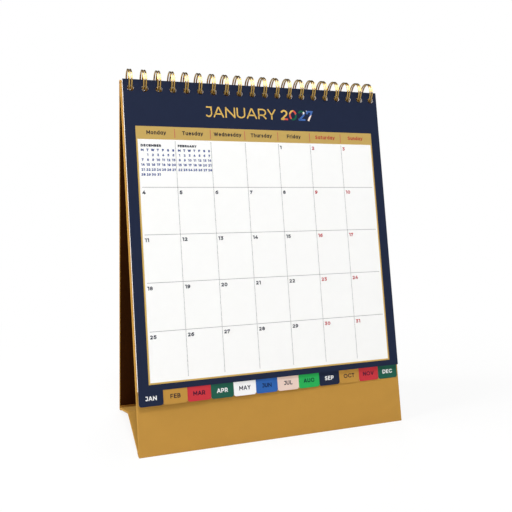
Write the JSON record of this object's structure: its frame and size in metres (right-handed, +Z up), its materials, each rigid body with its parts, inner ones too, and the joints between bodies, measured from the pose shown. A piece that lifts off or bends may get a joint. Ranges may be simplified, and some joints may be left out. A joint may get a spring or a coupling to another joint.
{
  "type": "wire-bound desk calendar",
  "caption": "Standing desk calendar with tabbed month cards on a row of twin-loop wire rings, carried by a folding board stand with a creased base.",
  "frame": {"origin": "centre of the stand on the table, midway between the two feet", "axes": "+X to the right along the wire as the months are read, -Y towards the reader, +Z up"},
  "size_m": [0.172, 0.0866, 0.2231],
  "materials": {
    "wrap_paper": "matte ochre paper wrap",
    "liner_paper": "matte",
    "wire": "bright gold",
    "card_navy": "smooth printed card",
    "card_ochre": "smooth printed card",
    "card_red": "smooth printed card",
    "card_green": "smooth printed card",
    "card_white": "smooth printed card",
    "card_blue": "smooth printed card",
    "card_cream": "smooth printed card",
    "card_bright_green": "smooth printed card"
  },
  "bodies": {
    "front_panel": {"front_board": "wrap_paper", "front_liner": "liner_paper", "spine_fold": "wrap_paper", "twin_loop_wire": "wire", "front_foot_fold": "wrap_paper"},
    "back_panel": {"back_board": "wrap_paper", "back_liner": "liner_paper", "rear_foot_fold": "wrap_paper"},
    "base_front": {"base_front_board": "wrap_paper", "crease_fold": "wrap_paper"},
    "base_rear": {"base_rear_board": "wrap_paper"},
    "page_january": {"sheet_01_january": "card_navy"},
    "page_february": {"sheet_02_february": "card_ochre"},
    "page_march": {"sheet_03_march": "card_red"},
    "page_april": {"sheet_04_april": "card_green"},
    "page_may": {"sheet_05_may": "card_white"},
    "page_june": {"sheet_06_june": "card_blue"},
    "page_july": {"sheet_07_july": "card_cream"},
    "page_august": {"sheet_08_august": "card_bright_green"},
    "page_september": {"sheet_09_september": "card_navy"},
    "page_october": {"sheet_10_october": "card_ochre"},
    "page_november": {"sheet_11_november": "card_red"},
    "page_december": {"sheet_12_december": "card_green"}
  },
  "joints": [
    {"name": "turn_december", "type": "hinge", "parent": "front_panel", "child": "page_december", "pos_m": [0, 0, 0.21611], "axis": [-1, 0, 0], "range_deg": [0, 180]},
    {"name": "turn_november", "type": "hinge", "parent": "page_december", "child": "page_november", "pos_m": [0, 0, 0.21611], "axis": [-1, 0, 0], "range_deg": [0, 180]},
    {"name": "turn_october", "type": "hinge", "parent": "page_november", "child": "page_october", "pos_m": [0, 0, 0.21611], "axis": [-1, 0, 0], "range_deg": [0, 180]},
    {"name": "turn_september", "type": "hinge", "parent": "page_october", "child": "page_september", "pos_m": [0, 0, 0.21611], "axis": [-1, 0, 0], "range_deg": [0, 180]},
    {"name": "turn_august", "type": "hinge", "parent": "page_september", "child": "page_august", "pos_m": [0, 0, 0.21611], "axis": [-1, 0, 0], "range_deg": [0, 180]},
    {"name": "turn_july", "type": "hinge", "parent": "page_august", "child": "page_july", "pos_m": [0, 0, 0.21611], "axis": [-1, 0, 0], "range_deg": [0, 180]},
    {"name": "turn_june", "type": "hinge", "parent": "page_july", "child": "page_june", "pos_m": [0, 0, 0.21611], "axis": [-1, 0, 0], "range_deg": [0, 180]},
    {"name": "turn_may", "type": "hinge", "parent": "page_june", "child": "page_may", "pos_m": [0, 0, 0.21611], "axis": [-1, 0, 0], "range_deg": [0, 180]},
    {"name": "turn_april", "type": "hinge", "parent": "page_may", "child": "page_april", "pos_m": [0, 0, 0.21611], "axis": [-1, 0, 0], "range_deg": [0, 180]},
    {"name": "turn_march", "type": "hinge", "parent": "page_april", "child": "page_march", "pos_m": [0, 0, 0.21611], "axis": [-1, 0, 0], "range_deg": [0, 180]},
    {"name": "turn_february", "type": "hinge", "parent": "page_march", "child": "page_february", "pos_m": [0, 0, 0.21611], "axis": [-1, 0, 0], "range_deg": [0, 180]},
    {"name": "turn_january", "type": "hinge", "parent": "page_february", "child": "page_january", "pos_m": [0, 0, 0.21611], "axis": [-1, 0, 0], "range_deg": [0, 180]},
    {"name": "top_fold", "type": "hinge", "parent": "front_panel", "child": "back_panel", "pos_m": [0, 0, 0.21418], "axis": [-1, 0, 0], "range_deg": [0, 13], "deforming": ["spine_fold"]},
    {"name": "base_front_fold", "type": "hinge", "parent": "front_panel", "child": "base_front", "pos_m": [0, -0.04082, 0.00105], "axis": [1, 0, 0], "range_deg": [0, 45.5], "deforming": ["front_foot_fold", "crease_fold"]},
    {"name": "base_rear_fold", "type": "hinge", "parent": "back_panel", "child": "base_rear", "pos_m": [0, 0.04082, 0.00105], "axis": [-1, 0, 0], "range_deg": [0, 45.5], "deforming": ["rear_foot_fold"]}
  ],
  "couplings": [
    {"joint": "base_front_fold", "follows": "top_fold", "ratio": 3.5},
    {"joint": "base_rear_fold", "follows": "top_fold", "ratio": 3.5}
  ]
}
